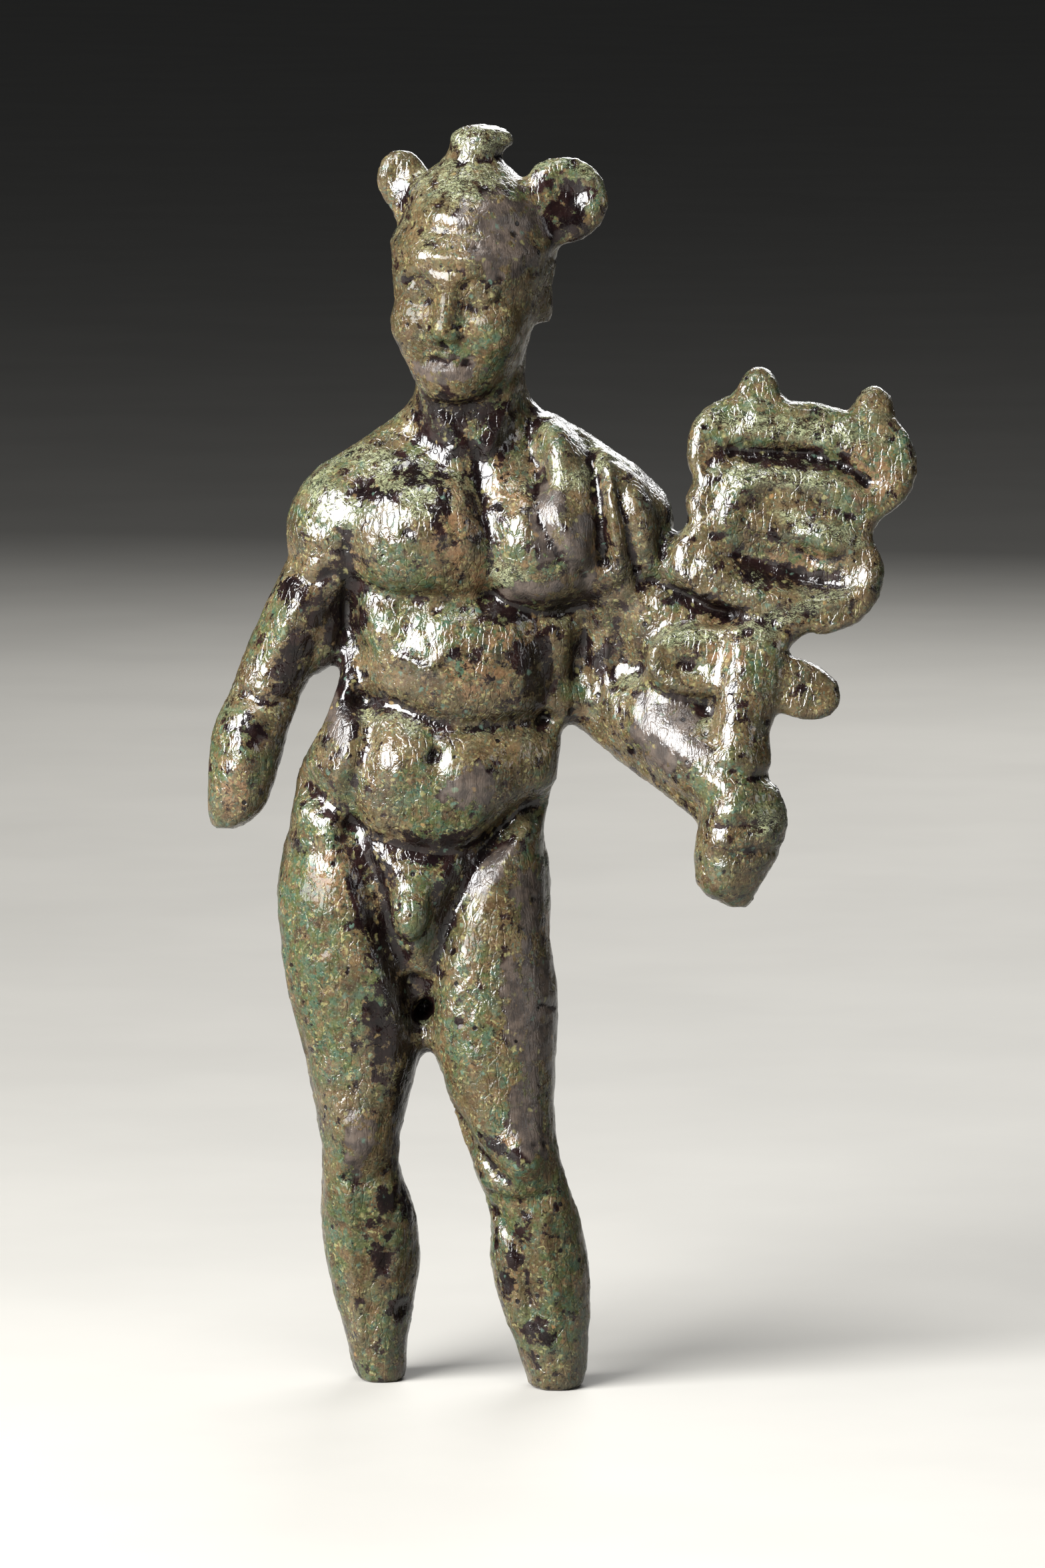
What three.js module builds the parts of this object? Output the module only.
// A Roman bronze figurine of Mercury, cast solid in one piece and now broken off at the right forearm and
// at both shins. Millimetres, +Z up. The front faces -Y, so +X is the figure's own left, and it stands on
// its two stumps. The figure is modelled as clay is: rounded masses are added and blended, then folds and
// furrows are pressed in, and the skin of the result is turned into one closed mesh.
import * as THREE from "three";
import { edgeTable, triTable } from "three/addons/objects/MarchingCubes.js";

// Driving dimensions.
const HEIGHT = 90;
const LOW_CORNER = [-17.1, -11.1, -1.8];
const HIGH_CORNER = [37.3, 9.7, HEIGHT + 2.2];
const CELL = 0.4;
const MOST_TRIANGLES = 9000;
// Above and to the left of these, the head keeps more of its triangles.
const [HEAD_BELOW, HEAD_RIGHT, HEAD_CARE] = [71, 14, 9];
const BODY_TO_BOX_CENTRE = new THREE.Vector3(-10.05, 1.46, 0);
const BRONZE = { color: 0x3b3a26, roughness: 0.38, metalness: 0.85 };

const FRONT = -1;
const BACK = 1;

const clamp01 = (t) => Math.min(1, Math.max(0, t));
const mix = (a, b, t) => a + (b - a) * t;

// Points between the given rows, on a smooth curve that passes through every row.
function smoothed(rows, steps) {
  const made = [];
  for (let i = 0; i + 1 < rows.length; i++) {
    const [a, b] = [rows[i], rows[i + 1]];
    const before = rows[i - 1] ?? a.map((v, j) => 2 * v - b[j]);
    const after = rows[i + 2] ?? b.map((v, j) => 2 * v - a[j]);
    for (let s = 0; s < steps; s++) {
      const t = s / steps;
      made.push(a.map((v, j) => {
        const [m0, m1] = [(b[j] - before[j]) / 2, (after[j] - v) / 2];
        const [t2, t3] = [t * t, t * t * t];
        const ends = (2 * t3 - 3 * t2 + 1) * v + (3 * t2 - 2 * t3) * b[j];
        return ends + (t3 - 2 * t2 + t) * m0 + (t3 - t2) * m1;
      }));
    }
  }
  return [...made, rows[rows.length - 1]];
}

// A shape is a box that holds it and at(x, y, z), the distance to its surface, which is negative inside.
const around = (points, reach) => ({
  low: [0, 1, 2].map((j) => Math.min(...points.map((p) => p[j])) - reach),
  high: [0, 1, 2].map((j) => Math.max(...points.map((p) => p[j])) + reach),
});

function ellipsoid(centre, [rx, ry, rz], turns = [0, 0, 0]) {
  const angles = turns.map(THREE.MathUtils.degToRad);
  const e = new THREE.Matrix4().makeRotationFromEuler(new THREE.Euler(...angles, "ZYX")).elements;
  return {
    ...around([centre], Math.max(rx, ry, rz)),
    at(x, y, z) {
      const [dx, dy, dz] = [x - centre[0], y - centre[1], z - centre[2]];
      const u = (e[0] * dx + e[1] * dy + e[2] * dz) / rx;
      const v = (e[4] * dx + e[5] * dy + e[6] * dz) / ry;
      const w = (e[8] * dx + e[9] * dy + e[10] * dz) / rz;
      const k0 = Math.hypot(u, v, w);
      const k1 = Math.hypot(u / rx, v / ry, w / rz);
      return k1 < 1e-9 ? -Math.min(rx, ry, rz) : (k0 * (k0 - 1)) / k1;
    },
  };
}

// A round rope along a smooth curve. Each point is [x, y, z, radius].
function rope(points) {
  const path = smoothed(points, 5);
  return {
    ...around(path, Math.max(...path.map((p) => p[3]))),
    at(x, y, z) {
      let nearest = Infinity;
      for (let i = 0; i + 1 < path.length; i++) {
        const [a, b] = [path[i], path[i + 1]];
        const [ex, ey, ez] = [b[0] - a[0], b[1] - a[1], b[2] - a[2]];
        const [px, py, pz] = [x - a[0], y - a[1], z - a[2]];
        const t = clamp01((px * ex + py * ey + pz * ez) / (ex * ex + ey * ey + ez * ez));
        const away = Math.hypot(px - t * ex, py - t * ey, pz - t * ez) - mix(a[3], b[3], t);
        nearest = Math.min(nearest, away);
      }
      return nearest;
    },
  };
}

// An upright form through level outlines. Each row is [z, left, right, front, back], from the lowest up.
// A corner above 2 makes the outlines squarer than ovals.
function loft(rows, corner = 2) {
  const fine = smoothed(rows, 8);
  const last = fine.length - 1;
  let [knownZ, row] = [NaN, null];
  const outline = (z) => {
    let i = 0;
    while (i < last - 1 && fine[i + 1][0] < z) i++;
    const t = clamp01((z - fine[i][0]) / (fine[i + 1][0] - fine[i][0]));
    return fine[i].map((v, j) => mix(v, fine[i + 1][j], t));
  };
  const corners = fine.flatMap(([z, left, right, front, back]) => [[left, front, z], [right, back, z]]);
  return {
    ...around(corners, 0),
    at(x, y, z) {
      if (z !== knownZ) [knownZ, row] = [z, outline(z)];
      const [, left, right, front, back] = row;
      const [rx, ry] = [(right - left) / 2, (back - front) / 2];
      const u = Math.abs(x - (left + right) / 2) / rx;
      const v = Math.abs(y - (front + back) / 2) / ry;
      const side = ((u ** corner + v ** corner) ** (1 / corner) - 1) * Math.min(rx, ry);
      return Math.max(side, fine[0][0] - z, z - fine[last][0]);
    },
  };
}

// A furrow, or with a negative depth a ridge, drawn on the front or back through [x, z] points. It acts on
// what is in front of, or behind, the depth given as middle.
function stroke(points, width, depth, side = FRONT, middle = 0) {
  const path = smoothed(points, 4);
  const box = around(path.map(([x, z]) => [x, middle, z]), width);
  box.low[1] = side === FRONT ? -40 : middle;
  box.high[1] = side === FRONT ? middle : 40;
  return {
    ...box,
    at(x, y, z) {
      let nearest = Infinity;
      for (let i = 0; i + 1 < path.length; i++) {
        const [a, b] = [path[i], path[i + 1]];
        const [ex, ez] = [b[0] - a[0], b[1] - a[1]];
        const t = clamp01(((x - a[0]) * ex + (z - a[1]) * ez) / (ex * ex + ez * ez));
        nearest = Math.min(nearest, Math.hypot(x - a[0] - t * ex, z - a[1] - t * ez));
      }
      const q = nearest / width;
      return q >= 1 ? 0 : depth * (1 - q * q) ** 2 * clamp01(side * (y - middle));
    },
  };
}

// A swelling, or with a negative height a hollow, on the front or back, oval as seen from the front.
function swell([cx, cz], [rx, rz], height, turn = 0, side = FRONT, middle = 0) {
  const [c, s] = [Math.cos(THREE.MathUtils.degToRad(turn)), Math.sin(THREE.MathUtils.degToRad(turn))];
  const box = around([[cx, middle, cz]], Math.max(rx, rz));
  box.low[1] = side === FRONT ? -40 : middle;
  box.high[1] = side === FRONT ? middle : 40;
  return {
    ...box,
    at(x, y, z) {
      const u = ((x - cx) * c + (z - cz) * s) / rx;
      const v = ((z - cz) * c - (x - cx) * s) / rz;
      const q = u * u + v * v;
      return q >= 1 ? 0 : -height * (1 - q) ** 2 * clamp01(side * (y - middle));
    },
  };
}

// The same shape, moved and turned by a matrix.
function placed(shape, matrix) {
  const [low, high] = [shape.low, shape.high];
  const corners = [0, 1, 2, 3, 4, 5, 6, 7].map((i) =>
    new THREE.Vector3(i & 1 ? high[0] : low[0], i & 2 ? high[1] : low[1], i & 4 ? high[2] : low[2])
      .applyMatrix4(matrix)
      .toArray());
  const e = matrix.clone().invert().elements;
  return {
    ...around(corners, 0),
    at: (x, y, z) => shape.at(
      e[0] * x + e[4] * y + e[8] * z + e[12],
      e[1] * x + e[5] * y + e[9] * z + e[13],
      e[2] * x + e[6] * y + e[10] * z + e[14]),
  };
}

// The clay: distances to the surface on an even grid of samples.
const count = [0, 1, 2].map((j) => Math.round((HIGH_CORNER[j] - LOW_CORNER[j]) / CELL) + 1);
const clay = new Float32Array(count[0] * count[1] * count[2]).fill(9);
const place = (i, j) => LOW_CORNER[j] + i * CELL;

function work(shape, reach, change) {
  const from = [0, 1, 2].map((j) => Math.max(0, Math.floor((shape.low[j] - reach - LOW_CORNER[j]) / CELL)));
  const to = [0, 1, 2].map((j) =>
    Math.min(count[j] - 1, Math.ceil((shape.high[j] + reach - LOW_CORNER[j]) / CELL)));
  for (let k = from[2]; k <= to[2]; k++)
    for (let j = from[1]; j <= to[1]; j++)
      for (let i = from[0]; i <= to[0]; i++) {
        const n = (k * count[1] + j) * count[0] + i;
        clay[n] = change(clay[n], shape.at(place(i, 0), place(j, 1), place(k, 2)));
      }
}

function add(shape, blend = 1) {
  work(shape, blend + 2 * CELL, (a, b) => {
    const h = Math.max(blend - Math.abs(a - b), 0) / blend;
    return Math.min(a, b) - (h * h * blend) / 4;
  });
}

function cut(shape, blend = 0.5) {
  work(shape, blend + 2 * CELL, (a, b) => {
    const h = Math.max(blend - Math.abs(a + b), 0) / blend;
    return Math.max(a, -b) + (h * h * blend) / 4;
  });
}

function press(relief) {
  work(relief, 0, (a, b) => a + b);
}

// Trunk: chest, waist and hips as one loft, then the muscles on it.
function trunk() {
  add(loft([
    [29, -6, 6, -3, 4.4],
    [32.5, -8.6, 8.2, -3.7, 5.2],
    [35.5, -10.1, 8.8, -4.1, 5.6],
    [39, -9.7, 8.8, -4.3, 5.4],
    [42, -9.25, 9.2, -4.4, 4.9],
    [44.8, -8.65, 9.7, -4.3, 4.4],
    [47.7, -7, 10.2, -3.8, 4.1],
    [50.6, -6, 10.9, -3.6, 4.2],
    [54, -5.8, 12, -3.8, 4.8],
    [58, -6, 13, -4.3, 5.4],
    [62, -6, 13.6, -4.3, 5.7],
    [65.2, -4.6, 12.6, -3.2, 5.3],
    [67.4, -1.4, 9.2, -2.2, 4.6],
    [69, 0.5, 7.3, -1.5, 4],
  ], 2.3), 1);
  // Slope from the neck to each shoulder.
  add(rope([[1.4, 1.4, 70.6, 1.4], [-1.4, 1.4, 67.6, 2], [-4.8, 1, 63.9, 3.2]]), 1.6);
  add(rope([[6.2, 1.4, 70.6, 1.4], [8.6, 1.4, 67.6, 2], [12, 1, 63.9, 3]]), 1.6);
  // Breast muscles, each with a firm lower edge.
  add(ellipsoid([-0.1, -1.8, 61.2], [6.3, 3.9, 4.9], [8, 0, -6]), 1);
  add(ellipsoid([9.1, -1.9, 60.6], [5.4, 3.7, 4.8], [8, 0, 6]), 1);
  // Upper belly, lower belly and the rib cage at its sides.
  add(ellipsoid([2.8, -1.2, 52], [6.2, 4, 5.1], [0, 8, 0]), 1.6);
  add(ellipsoid([1.1, -1.6, 43.8], [6.3, 3.7, 5.6], [0, 8, 0]), 1.8);
  press(swell([-2, 45.4], [3, 3.4], 0.45, 10));
  press(swell([4, 44.9], [3.4, 3.6], 0.35));
  press(swell([-3, 54.8], [2.4, 3.4], 0.4, 12));
  press(swell([-5.4, 47], [2.8, 5], 0.5, -10));
  press(swell([8.4, 45.2], [2.4, 4.4], 0.5, 8));
}

// Furrows of the front and back of the trunk.
function trunkLines() {
  press(stroke([[-0.6, 67.3], [-3.2, 66.6], [-5.6, 65.9]], 1.2, -0.3));
  press(stroke([[3.8, 68.1], [4.3, 64.7], [4.9, 61.1], [5, 58.3]], 1.5, 0.5));
  press(stroke([[-5.4, 60.2], [-4.2, 58.2], [-1.4, 57.1], [2, 56.8], [4.9, 57.1]], 1.5, 0.45));
  press(stroke([[4.9, 57.1], [6.4, 56.3], [9.2, 55.8], [12, 56.6], [14.4, 57.9]], 1.5, 0.6));
  press(stroke([[-4.6, 49.4], [-2.4, 49.4], [-0.4, 48.7], [2.2, 47.8], [6, 47.8], [8.6, 48.1]], 1.3, 0.5));
  press(stroke([[-4.4, 53.4], [-4, 49.6], [-3.8, 46.6], [-4.9, 43.3], [-4.5, 41]], 1.3, 0.5));
  press(stroke([[8.2, 54.7], [8.9, 51.3], [8.4, 47.8], [8.3, 45], [7.4, 41.9]], 1.6, 0.3));
  press(stroke([[1.3, 48], [1.1, 45.4], [1.3, 42.6]], 1.2, 0.15));
  press(swell([1, 45.7], [1, 1.1], -0.35));
  press(stroke([[-9.6, 44.3], [-7.4, 42.9], [-5.2, 41.2], [-2.4, 39.5], [0.6, 38.7], [3.6, 38.9],
    [5.6, 40.3], [6.9, 41.7], [9.6, 41.9]], 1.7, 0.5));
  press(stroke([[-5.3, 61.3], [-5.2, 58.1], [-5.4, 54.3]], 1.3, 0.8));
  // Back: spine, shoulder blades and the small of the back.
  press(stroke([[3.7, 67], [3.6, 60], [2.4, 50], [0.3, 43], [-0.3, 40]], 1.8, 0.9, BACK));
  press(swell([-2, 61.5], [4.4, 5], 0.8, 12, BACK));
  press(stroke([[-5.6, 55.6], [-3.4, 57], [-0.6, 57.6]], 1.3, 0.4, BACK));
  press(swell([-2.2, 48.6], [2.8, 6], 0.5, 0, BACK));
  press(swell([5.2, 48.6], [2.8, 6], 0.5, 0, BACK));
}

// The leg that carries the weight, on the figure's right, down to its broken shin.
function rightLeg() {
  add(loft([
    [-1, -4.4, -1.3, -1, 4.5],
    [0, -4.6, -1.2, -1.1, 4.6],
    [1, -5.1, -1.05, -1.2, 4.7],
    [3, -5.55, -0.95, -1.4, 4.8],
    [6, -6.35, -0.45, -1.7, 4.95],
    [9, -7.05, -0.05, -2, 5.1],
    [12, -7.35, -0.35, -2.4, 4.9],
    [15, -7.25, -1.35, -3, 3.8],
    [17, -7.25, -1.6, -3.4, 3.4],
    [20, -7.7, -1, -3.7, 3.8],
    [23.3, -8.4, -0.15, -4, 4.3],
    [25.5, -8.9, 0.3, -4.2, 4.5],
    [28.5, -9.65, 0.4, -4.4, 4.9],
    [32, -10.15, 0, -4.4, 5.1],
    [35.5, -10.1, -1, -4, 5.1],
    [39, -8.6, -2.4, -2.8, 4.4],
  ], 2.15), 0.9);
}

// The bent leg, on the figure's left, with its knee pushed forward.
function leftLeg() {
  add(loft([
    [-1, 7.9, 11.4, -4.6, 1.1],
    [0, 7.75, 11.6, -4.65, 1.15],
    [1, 7.35, 11.9, -4.7, 1.3],
    [3, 6.75, 12.05, -4.8, 1.6],
    [6, 5.55, 12.2, -4.8, 1.9],
    [9, 4.9, 12.1, -4.9, 2.2],
    [12, 4.95, 11.5, -5.1, 1.8],
    [14.5, 4.25, 10.65, -5.6, 1],
    [17, 3.3, 9.95, -6, 1],
    [20, 2.3, 9.6, -5.9, 1.9],
    [23.3, 1.15, 9.7, -5.6, 3],
    [25.5, 0.5, 9.85, -5.3, 3.6],
    [28.5, 0.1, 9.85, -5, 4.2],
    [32, 0.2, 9.3, -4.7, 4.6],
    [35.5, 0.8, 8.9, -4.1, 4.7],
    [39, 2.2, 8.2, -2.8, 4.2],
  ], 2.15), 0.9);
}

// Buttocks, groin, knees, shins and calves.
function legDetails() {
  add(ellipsoid([-4.9, 2.9, 37], [4.6, 3.7, 4.7]), 1.8);
  add(ellipsoid([4.3, 2.6, 36.2], [4.5, 3.6, 4.7]), 1.8);
  press(stroke([[-0.3, 41.4], [-0.4, 37], [-0.4, 32.4]], 1.3, 1.3, BACK, 1));
  press(stroke([[-8, 31.8], [-4.8, 31.4], [-1.6, 32.2]], 2.1, 0.4, BACK, 1));
  press(stroke([[0.8, 31.8], [4, 30.8], [7.4, 31.3]], 2.1, 0.4, BACK, 1));
  // The dip where the thighs meet, in front and behind, and the small pit left in the metal.
  press(stroke([[-4.9, 40], [-3.7, 37.2], [-2.9, 34.2], [-1.6, 31.2], [-0.3, 27.6], [0, 26.4]], 1.8, 0.9));
  press(stroke([[5.9, 40.8], [4, 37.8], [2.4, 34.6], [1, 31.4], [0.2, 28.4]], 1.8, 0.75));
  press(stroke([[-0.3, 32.6], [0, 30.4], [0.3, 28.6]], 1.5, 0.5, BACK, 1));
  add(rope([[-0.4, 1, 33, 2.4], [0, 0.8, 29.6, 2.3], [0.5, 0.2, 26, 1.7]]), 1.2);
  cut(ellipsoid([0.2, -2.2, 27.1], [0.65, 3.4, 1], [0, 24, 0]), 0.3);
  // Right knee: a raised bow over a hollow, and the edge of the shin bone.
  press(swell([-4.2, 18.6], [2.6, 3.2], 0.35));
  press(stroke([[-5.9, 15.8], [-4.8, 17.1], [-3.2, 17.8], [-2, 16.8]], 1, -0.2));
  press(swell([-3.8, 15.2], [2, 1.8], -0.25));
  press(stroke([[-5.2, 14], [-5, 9.6], [-4.4, 3.6]], 0.9, -0.25));
  press(stroke([[-6.9, 23.2], [-6.4, 20.2], [-5.4, 18.2]], 1.2, -0.2));
  // Left knee, with a furrow along the thigh above it.
  press(swell([7.4, 17.2], [2.4, 2.6], 0.5, 0, FRONT, -2));
  press(stroke([[2.6, 19.6], [3.8, 17.6], [5.4, 15.9]], 1.1, 0.45, FRONT, -2));
  press(stroke([[4.9, 13.6], [6.8, 13.3], [8.8, 14.1]], 1.5, 0.35, FRONT, -2));
  press(stroke([[5.4, 12.8], [6.7, 11], [7.6, 8.6], [8, 5]], 0.8, 0.3, FRONT, -2));
  press(stroke([[8.7, 12.2], [9.3, 8.2], [9.5, 5]], 1, -0.2, FRONT, -2));
  // Backs of the knees and calves.
  press(stroke([[-6.8, 17.2], [-4.3, 16.4], [-1.9, 17]], 1.6, 0.5, BACK, 1));
  press(stroke([[4, 16.8], [6.8, 16], [9.4, 16.6]], 1.6, 0.5, BACK, -1));
  press(stroke([[-3.8, 13.6], [-3.7, 8]], 1.1, 0.35, BACK, 1));
  press(stroke([[8.3, 13], [8.5, 8]], 1.1, 0.35, BACK, -1));
  // Groin.
  add(ellipsoid([-0.3, -3, 37.1], [2.4, 1.5, 1.5]), 1);
  add(ellipsoid([-0.7, -4.2, 34.5], [1.5, 1.5, 2.2], [-12, 6, 0]), 0.7);
}

// The right arm, which hangs and ends in a break above the wrist.
function rightArm() {
  add(loft([
    [40.2, -15, -13.1, -1.8, 0.4],
    [40.7, -15.15, -12.3, -2.4, 1],
    [42, -15.35, -11, -2.8, 1.7],
    [44.8, -15.3, -10.1, -2.9, 2.3],
    [47.7, -14.85, -9.25, -2.6, 3],
    [50.6, -13.5, -8.1, -2, 3.5],
    [53.4, -12.5, -6.6, -2, 3.9],
    [56.3, -11.15, -5.2, -2.3, 4.2],
    [59.2, -9.75, -3.6, -2.8, 4.6],
  ], 2.1), 0.8);
  add(ellipsoid([-5.3, 0.8, 61.5], [4.45, 4.1, 4.9], [0, 6, 0]), 1);
  press(stroke([[-13.2, 50], [-10.8, 49.2], [-8.8, 49.6]], 0.9, 0.35));
  press(stroke([[-9, 58.8], [-7.6, 58.2], [-6.2, 58.8]], 1.1, 0.25));
  press(swell([-9.4, 55], [2, 3.6], 0.4, -26));
  press(swell([-13, 45.6], [1.8, 3.6], 0.35, -8));
  // Web of metal between the upper arm and the ribs.
  add(ellipsoid([-6.6, 1, 54.5], [1.4, 2.2, 3.5], [0, 18, 0]), 0.5);
}

function neck() {
  add(loft([
    [64.5, -0.3, 7.5, -2.4, 4.4],
    [68, -0.5, 7.6, -2.7, 4.2],
    [71, -0.5, 7.5, -3, 4.2],
    [74, -0.3, 7.5, -3, 4.6],
    [77, 0, 7.4, -2.8, 5],
  ], 2.1), 1);
  press(stroke([[0.4, 72], [1.6, 69], [3, 66.8]], 1, -0.3));
  press(stroke([[6.6, 72], [5.4, 69], [4, 66.8]], 1, -0.3));
  press(swell([3.8, 66.8], [1.4, 1.4], -0.5));
}

// The head is modelled upright and facing -Y about its own centre, then turned to its right and bowed.
const HEAD = new THREE.Matrix4()
  .makeRotationFromEuler(new THREE.Euler(...[7, 3, -18].map(THREE.MathUtils.degToRad), "ZYX"))
  .setPosition(3.6, -0.3, 79);
const onHead = (shape) => placed(shape, HEAD);

function head() {
  // Skull, jaw, chin and cheeks.
  add(onHead(ellipsoid([0, 0.9, 1.6], [5.6, 6.1, 5.8])), 1);
  add(onHead(loft([
    [-7.2, -2.1, 2.1, -4.9, -1.4],
    [-6.1, -3.4, 3.4, -5.4, 1],
    [-4, -4.5, 4.5, -5.6, 2.6],
    [-1, -5.1, 5.1, -5.5, 3.6],
    [2.6, -5.3, 5.3, -5.4, 4.2],
  ], 2.2)), 1);
  add(onHead(ellipsoid([0, -4.4, -6], [1.7, 1.3, 1.3])), 1);
  for (const side of [-1, 1]) {
    add(onHead(ellipsoid([side * 2.8, -4.1, -2.2], [1.8, 1.3, 1.8])), 1.4);
    // Eye socket, eyeball between its lids, and brow.
    press(onHead(swell([side * 2.2, 0.5], [2.1, 1.5], -0.75, side * -6, FRONT, -2)));
    add(onHead(ellipsoid([side * 2.25, -4.5, 0.4], [1.35, 0.85, 0.8])), 0.3);
    press(onHead(stroke([[side * 0.5, 1.5], [side * 2.2, 2.1], [side * 4, 1.3]], 0.9, -0.35, FRONT, -2)));
    // Ear, close to the head.
    add(onHead(ellipsoid([side * 5.2, 0.8, -0.8], [0.7, 1.1, 1.8], [12, 0, 0])), 0.4);
  }
  // Nose and lips.
  add(onHead(rope([[0, -5, 1.7, 0.6], [0, -5.7, -0.6, 0.7], [0, -6.1, -2.1, 0.8]])), 1);
  for (const side of [-1, 1]) add(onHead(ellipsoid([side * 0.8, -5.6, -2.5], [0.6, 0.7, 0.55])), 0.5);
  add(onHead(ellipsoid([0, -5.2, -4.05], [1.5, 0.7, 0.5])), 0.5);
  add(onHead(ellipsoid([0, -5.15, -4.95], [1.2, 0.7, 0.5])), 0.5);
  press(onHead(stroke([[-1.6, -4.4], [0, -4.5], [1.6, -4.4]], 0.55, 0.3, FRONT, -4)));
}

// The close cap with its low rim, the broken knob on its crown and the two wings.
function petasos() {
  add(onHead(ellipsoid([0, 0.9, 2.5], [5.75, 6.4, 6.2])), 0.5);
  add(onHead(ellipsoid([0, 0.7, 3.5], [5.95, 6.7, 1], [4, 0, 0])), 0.6);
  press(onHead(stroke([[-4.8, 5.2], [-2.4, 4.9], [0, 4.8], [2.4, 4.9], [4.8, 5.2]], 1, 0.25, FRONT, -1)));
  add(loft([
    [85.6, -1, 7.8, -3.4, 3.4],
    [87, 0, 6.9, -2.9, 2.9],
    [88, 1.4, 6, -2.2, 2.3],
    [89, 2, 6, -2.1, 2.2],
    [89.8, 2.1, 6.4, -2.1, 2.2],
    [90.3, 2.5, 6.2, -1.7, 1.8],
    [90.6, 3.2, 5.4, -1, 1.1],
  ]), 0.5);
  add(ellipsoid([6.1, -0.4, 89.5], [0.65, 1, 0.55]), 0.3);
  // The wing of the figure's left comes forward with the turn of the head.
  add(ellipsoid([10.2, -1.4, 85.3], [3.25, 1.1, 3.2]), 0.5);
  add(ellipsoid([8.3, -0.8, 84.1], [2.2, 1.2, 2.6]), 0.9);
  press(swell([10.5, 85.5], [2.4, 2.4], -0.4));
  add(ellipsoid([-1.35, 2.6, 86.6], [1.95, 0.95, 2.2]), 0.4);
  add(ellipsoid([-0.2, 2.2, 85], [1.7, 1, 2.2], [0, 30, 0]), 0.8);
}

// The cloak over the left shoulder and upper arm, down to the elbow, with its pleats.
function cloak() {
  add(loft([
    [47, 12.4, 15.4, -0.8, 3],
    [48.4, 11.2, 17.2, -1.6, 3.8],
    [51.5, 10.7, 18, -2, 4.2],
    [55, 10.5, 18, -2.4, 4.5],
    [58, 9.8, 18, -3.8, 5],
    [61, 9, 18.05, -4.8, 5.6],
    [63.6, 8.4, 17.9, -4.8, 5.8],
    [66.3, 7.8, 15.4, -4, 5.6],
    [68, 7.7, 12.8, -3, 5],
    [69.2, 7.9, 10.8, -1.8, 4.3],
    [69.8, 8.3, 9.7, -0.8, 3.4],
  ], 2.2), 0.7);
  press(stroke([[8.2, 66.4], [8.4, 63], [10, 60.2], [11.8, 58.6]], 1.1, 0.35));
  press(stroke([[9.6, 68.4], [9.7, 65.8], [10, 62.9], [11, 60.2]], 1.7, -0.5));
  press(stroke([[11.4, 69.2], [12.2, 66.6], [12.7, 63.4], [13, 59.8]], 1.2, 0.75));
  press(stroke([[13.1, 67.4], [13.7, 64.7], [14, 61.7], [14.4, 58.6]], 1.1, -0.25));
  press(stroke([[14.2, 64.4], [14.6, 62.4], [15.1, 60.2], [15.7, 57.7]], 0.9, 0.45));
  press(stroke([[15, 66.2], [15.9, 63.4], [16.4, 59.8]], 1.2, -0.2));
  press(stroke([[16.4, 64.8], [17.1, 62.4], [17.2, 60]], 0.8, 0.25));
  // Rough upright folds under the arm, no two alike.
  const upright = [[11.4, -0.5, 0.4], [12.7, 0.2, 0.25], [14.1, -0.3, 0.45], [15.5, 0.3, 0.3]];
  for (const [x, lean, depth] of upright) {
    press(stroke([[x - lean, 56.2], [x, 52], [x + lean, 48.4]], 0.8, depth));
  }
  // The same cloth behind, with three long plain folds.
  for (const [x, lean, depth] of [[9.6, 0.5, 0.5], [11.9, 1.2, 0.7], [14.6, 1, 0.45]]) {
    press(stroke([[x - 0.9, 67.2], [x, 61.4], [x + 0.4 * lean, 55.4], [x + lean, 49.8]], 1.4, depth, BACK));
  }
}

// The left forearm reaches forward and to the side; cloth hangs from it to the hand.
function leftForearm() {
  const arm = [[14, 1.2, 49.6, 2.7], [16.8, -2, 48.2, 3.2], [19.2, -4.4, 46.3, 2.9], [21, -5.8, 44.6, 2.5]];
  const hem = [[12.1, 0.8, 48.4, 1.3], [15.1, -1, 46, 1.4], [18.2, -3.6, 44, 1.4], [20, -5.2, 42, 0.9]];
  add(rope(arm), 0.9);
  add(rope(hem), 0.9);
  add(ellipsoid([10.2, 0.2, 49.6], [1.6, 2, 1.8]), 0.8);
  // Filling of metal between the upper arm and the staff.
  add(ellipsoid([18.8, -2, 56], [4.6, 2, 5.4]), 1);
  add(ellipsoid([19.6, -3.8, 50.6], [4, 1.6, 2.8]), 0.8);
  // The fist around the staff.
  add(loft([
    [35.1, 22, 23.2, -7, -5.8],
    [35.8, 20.6, 23.8, -7.8, -5],
    [36.8, 19.6, 24.3, -8.5, -4.5],
    [38.8, 19.4, 25.5, -9, -4.1],
    [40.8, 19.7, 26.15, -9.2, -3.8],
    [42.4, 20.1, 26.1, -9.2, -3.7],
    [44.2, 20.5, 25.4, -8.7, -3.9],
    [46.8, 20.9, 25, -8.1, -4],
    [49, 21.1, 25.2, -7.5, -3.5],
    [53, 21.8, 26, -6.6, -3],
    [57, 22, 27, -5.4, -2.2],
  ], 2.3), 0.7);
  press(stroke([[22, 54], [21.9, 45], [21.5, 37.4]], 2, -0.4, FRONT, -5));
  press(stroke([[21, 45.2], [23.4, 44.6], [25.6, 44.6]], 1, 0.35, FRONT, -4));
  press(stroke([[24.2, 47.8], [24.2, 45.4], [24.6, 43]], 1, 0.3, FRONT, -5));
  for (const z of [41.4, 39.3]) {
    press(stroke([[21, z - 0.3], [23.2, z], [25.4, z + 0.3]], 0.7, 0.2, FRONT, -5));
  }
}

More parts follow.
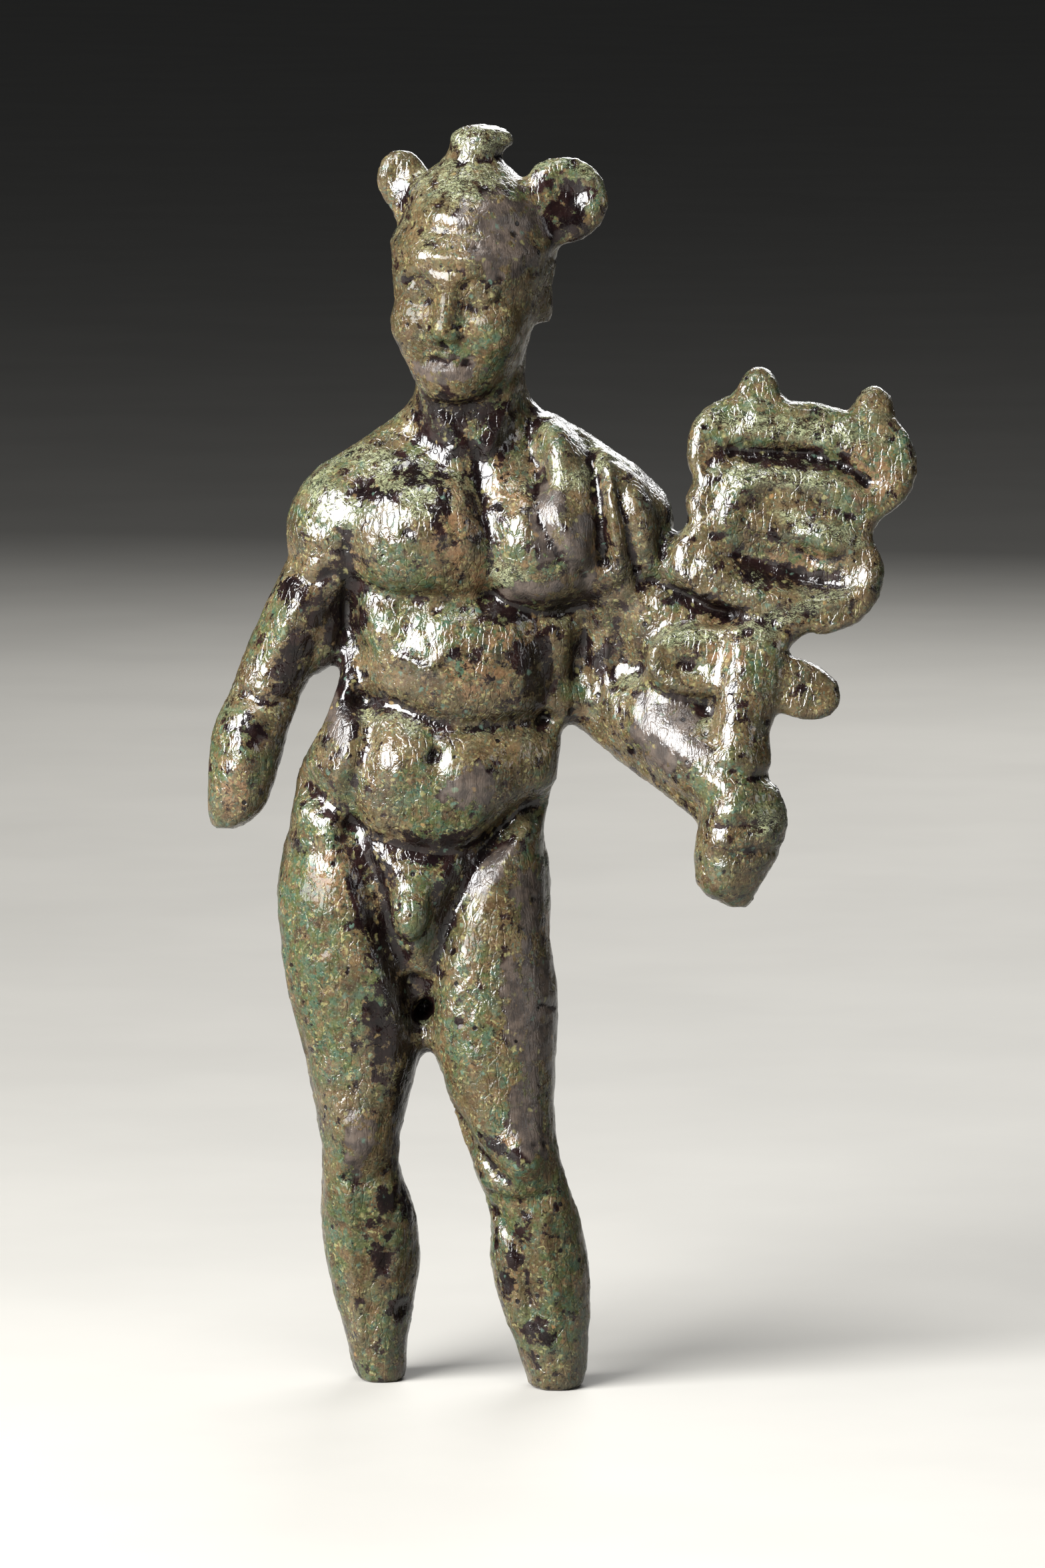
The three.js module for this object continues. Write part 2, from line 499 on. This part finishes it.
// The staff leans back from the fist towards the shoulder. A slab is a flat oval disc in its plane.
const staffY = (z) => -6.2 + 0.2 * (z - 44);
function slab([cx, cz], [rx, rz], half = 1.5, turn = 0) {
  const [c, s] = [Math.cos(THREE.MathUtils.degToRad(turn)), Math.sin(THREE.MathUtils.degToRad(turn))];
  const edge = 0.8;
  return {
    ...around([[cx, staffY(cz), cz]], Math.max(rx, rz)),
    at(x, y, z) {
      const u = ((x - cx) * c + (z - cz) * s) / rx;
      const v = ((z - cz) * c - (x - cx) * s) / rz;
      const k0 = Math.hypot(u, v);
      const side = k0 < 1e-9 ? -Math.min(rx, rz) : (k0 * (k0 - 1)) / Math.hypot(u / rx, v / rz);
      const [p, q] = [side + edge, Math.abs(y - staffY(z)) - half + edge];
      return Math.min(Math.max(p, q), 0) + Math.hypot(Math.max(p, 0), Math.max(q, 0)) - edge;
    },
  };
}

function caduceus() {
  // Upper loop with its two horns, then the lower loop, which joins the cloak.
  add(slab([22.4, 67.5], [3.5, 3.6]), 0.7);
  add(slab([27, 67.2], [5.6, 3.7]), 0.7);
  add(slab([31.65, 66.4], [3.8, 3.9]), 0.7);
  add(slab([24.1, 70.8], [1.7, 2.6], 1.2), 1);
  add(slab([32.4, 70.4], [1.4, 1.6], 1.2), 0.8);
  add(slab([21.8, 63.6], [3, 2.2], 1.5), 0.9);
  add(slab([27.4, 62.6], [5.2, 2.6], 1.4), 0.8);
  add(slab([28.5, 58.7], [4.55, 4.2]), 0.6);
  add(slab([22.8, 59.6], [5, 3.9]), 0.7);
  add(slab([25, 55.8], [2.6, 2.4], 1.4), 0.8);
  // Wings at the neck of the staff.
  add(slab([19.8, 52.5], [3.8, 2.3], 1.3, 4), 0.5);
  add(slab([26.9, 50.7], [3.2, 2.1], 1.2, -20), 0.6);
  // The slits of the loops, and the snakes between them.
  const upperSlit = [[22.2, 67.4], [24.4, 67.3], [27.7, 67.1], [30.3, 66.3], [31.8, 65.2]];
  const snake = [[21.8, 63], [23.2, 65.1], [25.6, 65.9], [28.6, 65.6], [31.2, 64.6]];
  press(stroke(upperSlit, 1.1, 0.8, FRONT, -1));
  press(stroke(snake, 1.3, -0.45, FRONT, -2));
  press(swell([26, 59.5], [6, 2.5], -1.1, -13, FRONT, -2));
  press(stroke([[22.4, 60.4], [25.6, 58.9], [29.8, 58]], 0.9, 0.35, FRONT, -2));
  press(swell([29, 61.3], [3, 1.8], 0.8, -24, FRONT, -2));
  press(stroke([[20.4, 59.6], [23.2, 57.8], [27, 57], [30.6, 57.2], [32.2, 59]], 1.1, -0.35, FRONT, -2));
  press(stroke([[16.6, 58.1], [19.6, 56.9], [22.6, 55.9], [25.2, 55.4]], 1.2, 0.55, FRONT, -2));
  press(stroke([[16.4, 53.2], [18, 54.7], [21, 54.9], [24.4, 54.9]], 0.9, -0.35, FRONT, -3));
  press(swell([19, 52.3], [2.6, 1.3], -0.35, -14, FRONT, -3));
  // Behind, the two snakes show as one plain crossing.
  press(stroke([[22.4, 67.4], [26, 64], [30, 60.6]], 1.8, -0.4, BACK, -1));
  press(stroke([[31, 67.4], [27, 63.6], [22.8, 60]], 1.8, -0.4, BACK, -1));
}

// The two breaks at the shins are flat, so that the figure stands. Their corners lie towards these directions.
const BETWEEN_BREAKS = 3;
const BREAK_CORNERS = [[1, 1.2], [-1, 1.2], [-1, -1.2], [1, -1.2]];
const CHIPPED = 0.1;
function standFlat() {
  for (let n = 0; n < clay.length; n++) {
    const z = place(Math.floor(n / (count[0] * count[1])), 2);
    clay[n] = Math.max(clay[n], -z);
  }
}

trunk();
rightLeg();
leftLeg();
trunkLines();
legDetails();
rightArm();
neck();
head();
petasos();
cloak();
leftForearm();
caduceus();
standFlat();

// The skin of the clay as vertices and triangles, by marching cubes.
function skin() {
  const corner = [[0, 0, 0], [1, 0, 0], [1, 1, 0], [0, 1, 0], [0, 0, 1], [1, 0, 1], [1, 1, 1], [0, 1, 1]];
  const edge = [
    [0, 1], [1, 2], [2, 3], [3, 0], [4, 5], [5, 6], [6, 7], [7, 4], [0, 4], [1, 5], [2, 6], [3, 7],
  ];
  const offset = corner.map(([i, j, k]) => (k * count[1] + j) * count[0] + i);
  const vertices = [];
  const triangles = [];
  const known = new Map();
  const vertexOn = (cell, e) => {
    let [a, b] = edge[e];
    if (offset[a] > offset[b]) [a, b] = [b, a];
    const key = (cell.n + offset[a]) * 3 + (e > 7 ? 2 : e & 1);
    if (!known.has(key)) {
      const [va, vb] = [clay[cell.n + offset[a]], clay[cell.n + offset[b]]];
      const t = Math.min(0.98, Math.max(0.02, va / (va - vb)));
      known.set(key, vertices.length);
      vertices.push([0, 1, 2].map((m) => place(cell.at[m] + mix(corner[a][m], corner[b][m], t), m)));
    }
    return known.get(key);
  };
  for (let k = 0; k < count[2] - 1; k++)
    for (let j = 0; j < count[1] - 1; j++)
      for (let i = 0; i < count[0] - 1; i++) {
        const cell = { n: (k * count[1] + j) * count[0] + i, at: [i, j, k] };
        let sign = 0;
        for (let c = 0; c < 8; c++) if (clay[cell.n + offset[c]] > 0) sign |= 1 << c;
        if (!edgeTable[sign]) continue;
        for (let t = sign * 16; triTable[t] !== -1; t += 3)
          triangles.push([0, 1, 2].map((m) => vertexOn(cell, triTable[t + m])));
      }
  return { vertices, triangles };
}

// Fewer triangles: edges are folded away, the one that changes the form least first, by quadric error.
function simplified({ vertices, triangles }, most) {
  const fans = vertices.map(() => new Set());
  const quadrics = vertices.map(() => new Float64Array(10));
  const normalOf = ([a, b, c], moved = -1, to = null) => {
    const [p, q, r] = [a, b, c].map((v) => (v === moved ? to : vertices[v]));
    const [ux, uy, uz] = q.map((v, m) => v - p[m]);
    const [vx, vy, vz] = r.map((v, m) => v - p[m]);
    return [uy * vz - uz * vy, uz * vx - ux * vz, ux * vy - uy * vx];
  };
  triangles.forEach((t, n) => {
    const normal = normalOf(t);
    const size = Math.hypot(...normal) || 1e-12;
    const onTheHead = vertices[t[0]][2] > HEAD_BELOW && vertices[t[0]][0] < HEAD_RIGHT;
    const weight = size * (onTheHead ? HEAD_CARE : 1);
    const [a, b, c] = normal.map((v) => v / size);
    const d = -(a * vertices[t[0]][0] + b * vertices[t[0]][1] + c * vertices[t[0]][2]);
    const q = [a * a, a * b, a * c, a * d, b * b, b * c, b * d, c * c, c * d, d * d];
    for (const v of t) {
      fans[v].add(n);
      q.forEach((value, m) => (quadrics[v][m] += value * weight));
    }
  });
  const error = (q, [x, y, z]) =>
    q[0] * x * x + 2 * q[1] * x * y + 2 * q[2] * x * z + 2 * q[3] * x + q[4] * y * y + 2 * q[5] * y * z +
    2 * q[6] * y + q[7] * z * z + 2 * q[8] * z + q[9];
  const fold = (a, b) => {
    const q = quadrics[a].map((v, m) => v + quadrics[b][m]);
    const [pa, pb] = [vertices[a], vertices[b]];
    const choices = [pa, pb, pa.map((v, m) => (v + pb[m]) / 2)];
    const best = new THREE.Matrix3().set(q[0], q[1], q[2], q[1], q[4], q[5], q[2], q[5], q[7]);
    if (Math.abs(best.determinant()) > 1e-6) {
      const p = new THREE.Vector3(-q[3], -q[6], -q[8]).applyMatrix3(best.invert()).toArray();
      if (Math.hypot(...p.map((v, m) => v - choices[2][m])) < 2 * CELL) choices.push(p);
    }
    const to = choices.reduce((x, y) => (error(q, y) < error(q, x) ? y : x));
    const length = Math.hypot(...pa.map((v, m) => v - pb[m]));
    return { a, b, q, to, cost: error(q, to) + 1e-4 * length ** 2 };
  };
  // A heap of folds, the cheapest on top. Folds made stale by a neighbour's are skipped by their age.
  const age = new Uint32Array(vertices.length);
  const heap = [];
  const push = (item) => {
    let n = heap.push(item) - 1;
    while (n > 0 && heap[(n - 1) >> 1].cost > item.cost) {
      heap[n] = heap[(n - 1) >> 1];
      n = (n - 1) >> 1;
    }
    heap[n] = item;
  };
  const pop = () => {
    const [top, item] = [heap[0], heap.pop()];
    let n = 0;
    for (let child = 1; child < heap.length; child = 2 * n + 1) {
      if (child + 1 < heap.length && heap[child + 1].cost < heap[child].cost) child++;
      if (heap[child].cost >= item.cost) break;
      heap[n] = heap[child];
      n = child;
    }
    if (heap.length) heap[n] = item;
    return top;
  };
  const offer = (a, b) => push({ ...fold(a, b), ages: [age[a], age[b]] });
  const neighboursOf = (v) => new Set([...fans[v]].flatMap((n) => triangles[n]).filter((w) => w !== v));
  triangles.forEach((t) => t.forEach((a, m) => a < t[(m + 1) % 3] && offer(a, t[(m + 1) % 3])));
  const keepsFacing = (v, gone, to) => [...fans[v]].every((n) => {
    if (triangles[n].includes(gone)) return true;
    const [before, after] = [normalOf(triangles[n]), normalOf(triangles[n], v, to)];
    const dot = before[0] * after[0] + before[1] * after[1] + before[2] * after[2];
    return dot > 0.3 * Math.hypot(...before) * Math.hypot(...after) && Math.hypot(...after) > 1e-3;
  });
  let left = triangles.length;
  while (left > most && heap.length > 1) {
    const { a, b, q, to, ages } = pop();
    if (!fans[a].size || !fans[b].size || ages[0] !== age[a] || ages[1] !== age[b]) continue;
    const [nearA, nearB] = [neighboursOf(a), neighboursOf(b)];
    if ([...nearA].filter((v) => nearB.has(v)).length !== 2) continue;
    if (!keepsFacing(a, b, to) || !keepsFacing(b, a, to)) continue;
    for (const n of fans[b]) {
      if (triangles[n].includes(a)) {
        for (const v of triangles[n]) if (v !== b) fans[v].delete(n);
        triangles[n] = null;
        left--;
      } else {
        triangles[n] = triangles[n].map((v) => (v === b ? a : v));
        fans[a].add(n);
      }
    }
    fans[b].clear();
    vertices[a] = to;
    quadrics[a] = q;
    age[a]++;
    age[b]++;
    for (const v of neighboursOf(a)) offer(Math.min(a, v), Math.max(a, v));
  }
  return { vertices, triangles: triangles.filter(Boolean) };
}

// The edges of the two breaks are sharp: what the skin has just above the ground comes down to it.
function grounded(form) {
  for (const v of form.vertices) if (v[2] < 0.6 * CELL) v[2] = 0;
  return form;
}

// The figure stands on four corners of each break. The rest of the rim is chipped a little above the ground.
function onCorners({ vertices, triangles }) {
  const low = (v) => vertices[v][2] < 0.03;
  const faces = triangles.filter((t) => !t.every(low));
  for (const side of [-1, 1]) {
    const next = new Map();
    for (const t of faces)
      t.forEach((a, m) => {
        const b = t[(m + 1) % 3];
        if (low(a) && low(b) && side * (vertices[a][0] - BETWEEN_BREAKS) > 0) next.set(b, a);
      });
    const rim = [next.keys().next().value];
    while (next.get(rim.at(-1)) !== rim[0]) rim.push(next.get(rim.at(-1)));
    const furthest = ([u, v]) => {
      const out = rim.map((n) => u * vertices[n][0] + v * vertices[n][1]);
      return out.indexOf(Math.max(...out));
    };
    const corners = BREAK_CORNERS.map(furthest).sort((a, b) => a - b);
    rim.forEach((v, n) => (vertices[v][2] = corners.includes(n) ? 0 : CHIPPED));
    const at = (n) => rim[n % rim.length];
    faces.push([at(corners[0]), at(corners[1]), at(corners[2])], [at(corners[0]), at(corners[2]), at(corners[3])]);
    corners.forEach((from, n) => {
      const to = corners[n + 1] ?? corners[0] + rim.length;
      for (let k = from + 1; k < to; k++) faces.push([at(from), at(k), at(k + 1)]);
    });
  }
  return { vertices, triangles: faces };
}

const { vertices, triangles } = onCorners(simplified(grounded(skin()), MOST_TRIANGLES));
const geometry = new THREE.BufferGeometry()
  .setAttribute("position", new THREE.Float32BufferAttribute(vertices.flat(), 3))
  .setIndex(triangles.flat());
geometry.computeVertexNormals();

const figurine = new THREE.Mesh(geometry, new THREE.MeshStandardMaterial({ ...BRONZE, flatShading: true }));
figurine.name = "figurine";
figurine.position.copy(BODY_TO_BOX_CENTRE);

const group = new THREE.Group();
group.add(figurine);
export default group;
